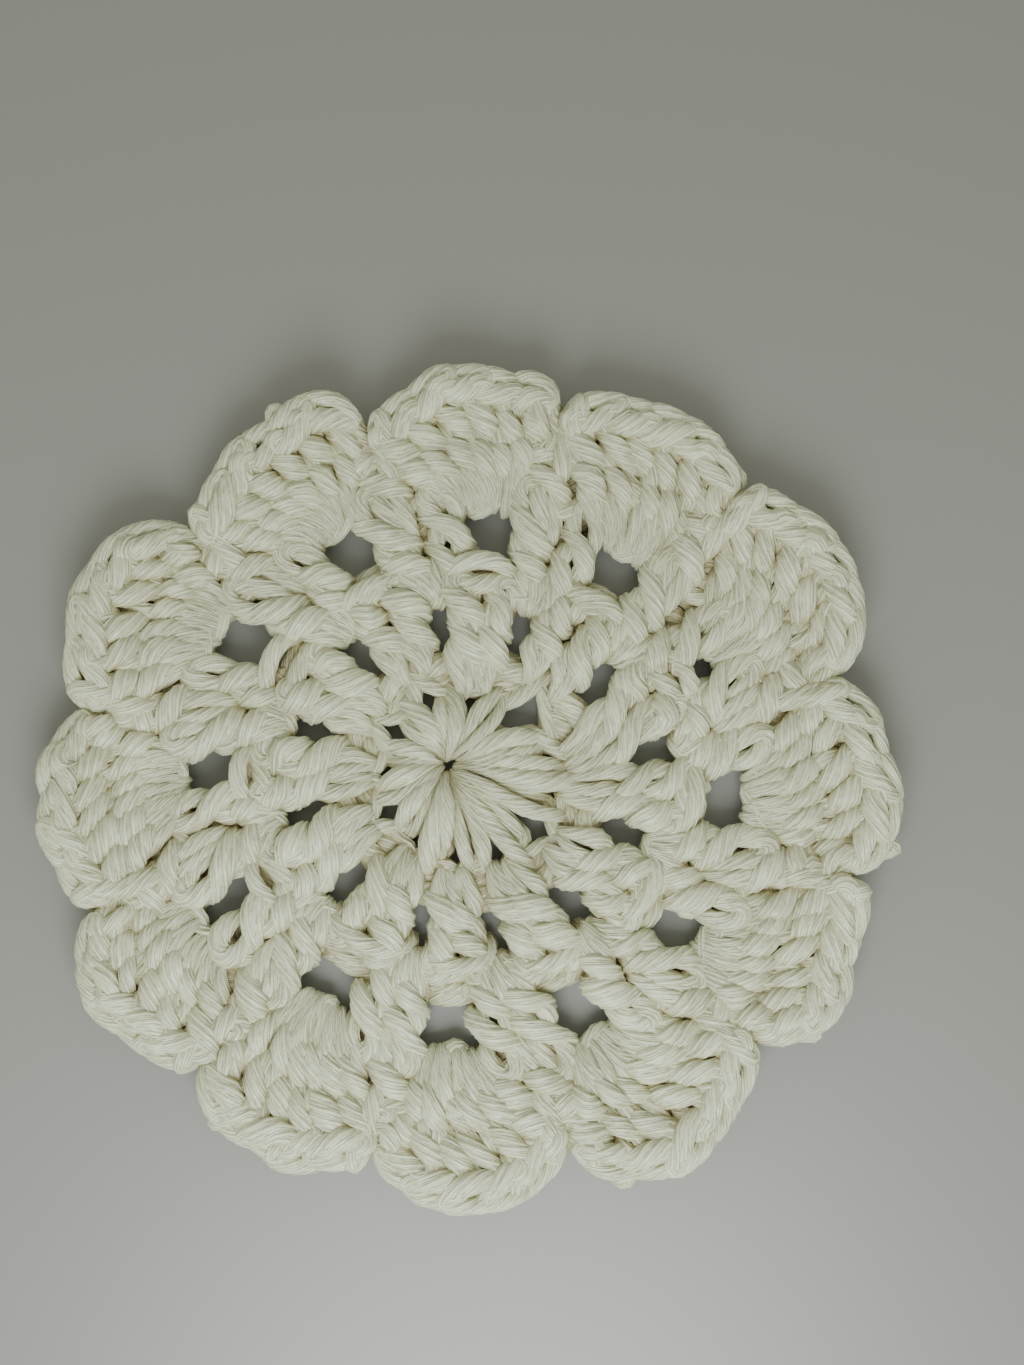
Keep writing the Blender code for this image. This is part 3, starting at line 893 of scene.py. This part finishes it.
def roundThree():
    # a pair of posts in each small gap, spread like a V up to the large gap on either side
    run, slacks = YarnRun(), []
    recipe = postRecipe(2, round3["step"])
    foot, head = round3["foot"], round3["head"]
    linkTurn, above, topFront = round3["topLink"]
    gapLeft, gapRight, gapFront = round3["overGap"]
    for row in range(repeats):
        for side in (-1, 1):
            gap = petals[(row - (side < 0)) % repeats]
            sector = 2.0 * math.pi * gap["gapOut"] / repeats
            spread = (0.5 * (sector - gap["gapWide"]) - round3["postHalf"]) / sector
            spread = round3["footSpread"] + (spread - round3["footSpread"]) / round3["besideGap"]
            layPost(run, (row + round3["footSpread"] * side, foot), (row + spread * side, head),
                    round3["halfWidths"], recipe, squeeze=round3["squeeze"],
                    rise=nudge(round3["unevenRise"]), slant=nudge(round3["unevenSlant"]))
            if side < 0:
                layLink(run, (row - spread, head + above), (row + linkTurn, head + above), front=topFront)
        gap, middle = petals[row], row + 0.5
        outer = stationAt(middle, gap["gapOut"] + 0.5 * gap["gapLong"] + round3["clearGap"])
        layLink(run, (row + gapLeft, head), (middle, outer), front=gapFront)
        layLink(run, (middle, outer), (row + gapRight, head), front=gapFront)
        inner = stationAt(middle, gap["gapOut"] - 0.5 * gap["gapLong"] - round3["clearGap"])
        slacks.append(slackRun(row, inner))
    return run, slacks


def rounds():
    dip, widest = round1["eye"]
    eyes = [dip + widest * petal["eye"] for petal in petals]
    first, second, third = roundOne(eyes), roundTwo(eyes), []
    for row in range(repeats):
        inSecond, inThird = innerFillers(row)
        second += inSecond
        third += inThird
    run, slacks = roundThree()
    return {"yarn_round_1": first, "yarn_round_2": second, "yarn_round_3": [run] + third + slacks}


fan = {
    "posts": 6, "footMiddle": 0.43, "footSpread": 0.58, "halfWidths": (0.80, 1.75, 2.05),
    "step": 0.15, "squeeze": 0.50, "edge": 4.0, "linkSize": 1.08,
    "fromGap": 0.3,                # millimetres from the large gap to the posts' feet
    "unevenEdge": 0.022, "unevenFoot": 0.015, "unevenHead": 0.01, "unevenRise": 0.45,
    "unevenSlant": 0.35, "unevenSize": 0.07, "unevenLift": 0.2,
    # the short stitch at the valley: turns and stations of its foot and head
    "valleyTurn": -0.10, "unevenValley": 0.015, "shortFoot": (0.05, 3.06),
    "shortHead": (0.02, 3.62), "shortWidths": (1.6, 2.1, 1.9), "shortStep": 0.15,
    # the chain's way up to the edge and down again, as (turn, station)
    "wayUp": ((0.0, 3.70), (0.02, 3.88)), "wayDown": ((0.985, 3.88), (0.97, 3.72)),
    "downLifts": (0.5, 0.6),
    # turns from and to, station, width
    "fillers": ((-0.02, 1.02, 3.50, 2.0), (0.06, 0.94, 3.80, 1.6)),
}


def atRow(row, place):
    return row + place[0], place[1]


def petalRun(row, short, tall):
    # one petal: a short stitch at the valley, then the fan of tall posts and the chain along their heads
    run, posts = YarnRun(), fan["posts"]
    across = row + fan["valleyTurn"] + nudge(fan["unevenValley"])
    shortHead = atRow(across, fan["shortHead"])
    layPost(run, atRow(across, fan["shortFoot"]), shortHead, fan["shortWidths"], short)
    layValley(run, across, shortHead[1])
    heads = [(2 * post + 1) / (2 * posts) for post in range(posts)]
    edges = fan["edge"] + jitter(posts, fan["unevenEdge"])
    gap = petals[row]
    foot = stationAt(row + 0.5, gap["gapOut"] + 0.5 * gap["gapLong"] + fan["fromGap"])
    climb = [atRow(row, place) for place in fan["wayUp"]] + [(row + heads[0], edges[0])]
    layLink(run, climb[0], climb[1])
    layLink(run, climb[1], climb[2])
    for index, share in enumerate(heads):
        footTurn = fan["footMiddle"] + (share - 0.5) * fan["footSpread"]
        layPost(run, (row + footTurn, foot + abs(nudge(fan["unevenFoot"]))),
                (row + share + nudge(fan["unevenHead"]), edges[index]),
                fan["halfWidths"], tall, squeeze=fan["squeeze"],
                rise=nudge(fan["unevenRise"]), slant=nudge(fan["unevenSlant"]))
        if index + 1 < posts:
            layLink(run, (row + share, edges[index]), (row + heads[index + 1], edges[index + 1]),
                    size=fan["linkSize"] + nudge(fan["unevenSize"]),
                    lift=nudge(fan["unevenLift"]))
    down = [(row + heads[-1], edges[-1])] + [atRow(row, place) for place in fan["wayDown"]]
    for start, end, lift in zip(down, down[1:], fan["downLifts"]):
        layLink(run, start, end, lift=lift)
    return run


def petalRuns():
    runs = {}
    short, tall = postRecipe(1, fan["shortStep"]), postRecipe(2, fan["step"])
    for row in range(repeats):
        strands = [petalRun(row, short, tall)]
        for start, end, station, width in fan["fillers"]:
            strands.append(fillerRun(row + start, row + end, station, width))
        strands += [nubRun(*nub) for nub in nubs if int(nub[0]) == row]
        runs[f"petal_yarn_{row + 1:02d}"] = strands
    return runs


studio = {
    "floorSize": 3.0,
    "floor": {"Base Color": (0.330, 0.341, 0.322, 1.0), "Roughness": 0.42, "Specular IOR Level": 0.9},
    "keyPlace": (0.004, -0.155, 0.182), "keySize": 0.14,
    "keyPower": 0.445, "keyColour": (0.965, 0.985, 1.0),
    "world": {"Color": (1.0, 0.99, 0.84, 1.0), "Strength": 0.52},
}


def makeStage():
    bpy.ops.mesh.primitive_plane_add(size=studio["floorSize"], location=(0.0, 0.0, 0.0))
    floor = bpy.context.active_object
    floor.name = "floor"
    paint = bpy.data.materials.new("paleFloor")
    paint.use_nodes = True
    fillSockets(paint.node_tree.nodes["Principled BSDF"], studio["floor"])
    floor.data.materials.append(paint)
    data = bpy.data.lights.new("key", "AREA")
    data.size = studio["keySize"]
    data.energy = studio["keyPower"]
    data.color = studio["keyColour"]
    light = bpy.data.objects.new("key", data)
    bpy.context.scene.collection.objects.link(light)
    light.location = studio["keyPlace"]
    light.visible_camera = False
    light.rotation_euler = (-Vector(studio["keyPlace"])).to_track_quat("-Z", "Y").to_euler()
    world = bpy.data.worlds.new("studio")
    world.use_nodes = True
    fillSockets(world.node_tree.nodes["Background"], studio["world"])
    bpy.context.scene.world = world


photo = {
    "height": 0.1898,          # metres from the top of the picture to the bottom, at this level
    "level": 0.006,            # the height of the petals' edge
    "distance": 0.250,
    "tilt": 4.5,               # degrees
    "centre": (0.0060, 0.0137),
    "sensor": 36.0,
}


def makeCamera():
    data = bpy.data.cameras.new("camera")
    camera = bpy.data.objects.new("camera", data)
    bpy.context.scene.collection.objects.link(camera)
    tilt = math.radians(photo["tilt"])
    target = Vector((photo["centre"][0], photo["centre"][1], photo["level"]))
    away = photo["distance"] - photo["level"]
    camera.location = target + Vector((0.0, -math.sin(tilt), math.cos(tilt))) * away
    camera.rotation_euler = (tilt, 0.0, 0.0)
    data.sensor_fit = "AUTO"
    data.sensor_width = photo["sensor"]
    data.lens = photo["sensor"] * away / photo["height"]
    data.clip_start = 0.005
    data.clip_end = 20.0
    bpy.context.scene.camera = camera


print("stage and camera")
makeStage()
makeCamera()
print("yarn")
placesPerPetal = 12
rimTurns = np.arange(placesPerPetal * repeats) / placesPerPetal
rim = surface(rimTurns, np.full(len(rimTurns), 4.0))
mat["centreShift"] = tuple(-0.5 * (rim.max(axis=0) + rim.min(axis=0))[:2])
yarnCotton = cottonMaterial()
skeins = [Skein(name, runs) for name, runs in (rounds() | petalRuns()).items()]
paintedShades = shadeBetweenStrands(skeins)
first, triangles = 0, 0
for skein in skeins:
    last = first + len(skein.verts)
    triangles += makeYarn(skein, paintedShades[first:last], yarnCotton)
    first = last
print("centre shift", mat["centreShift"], "triangles", triangles)
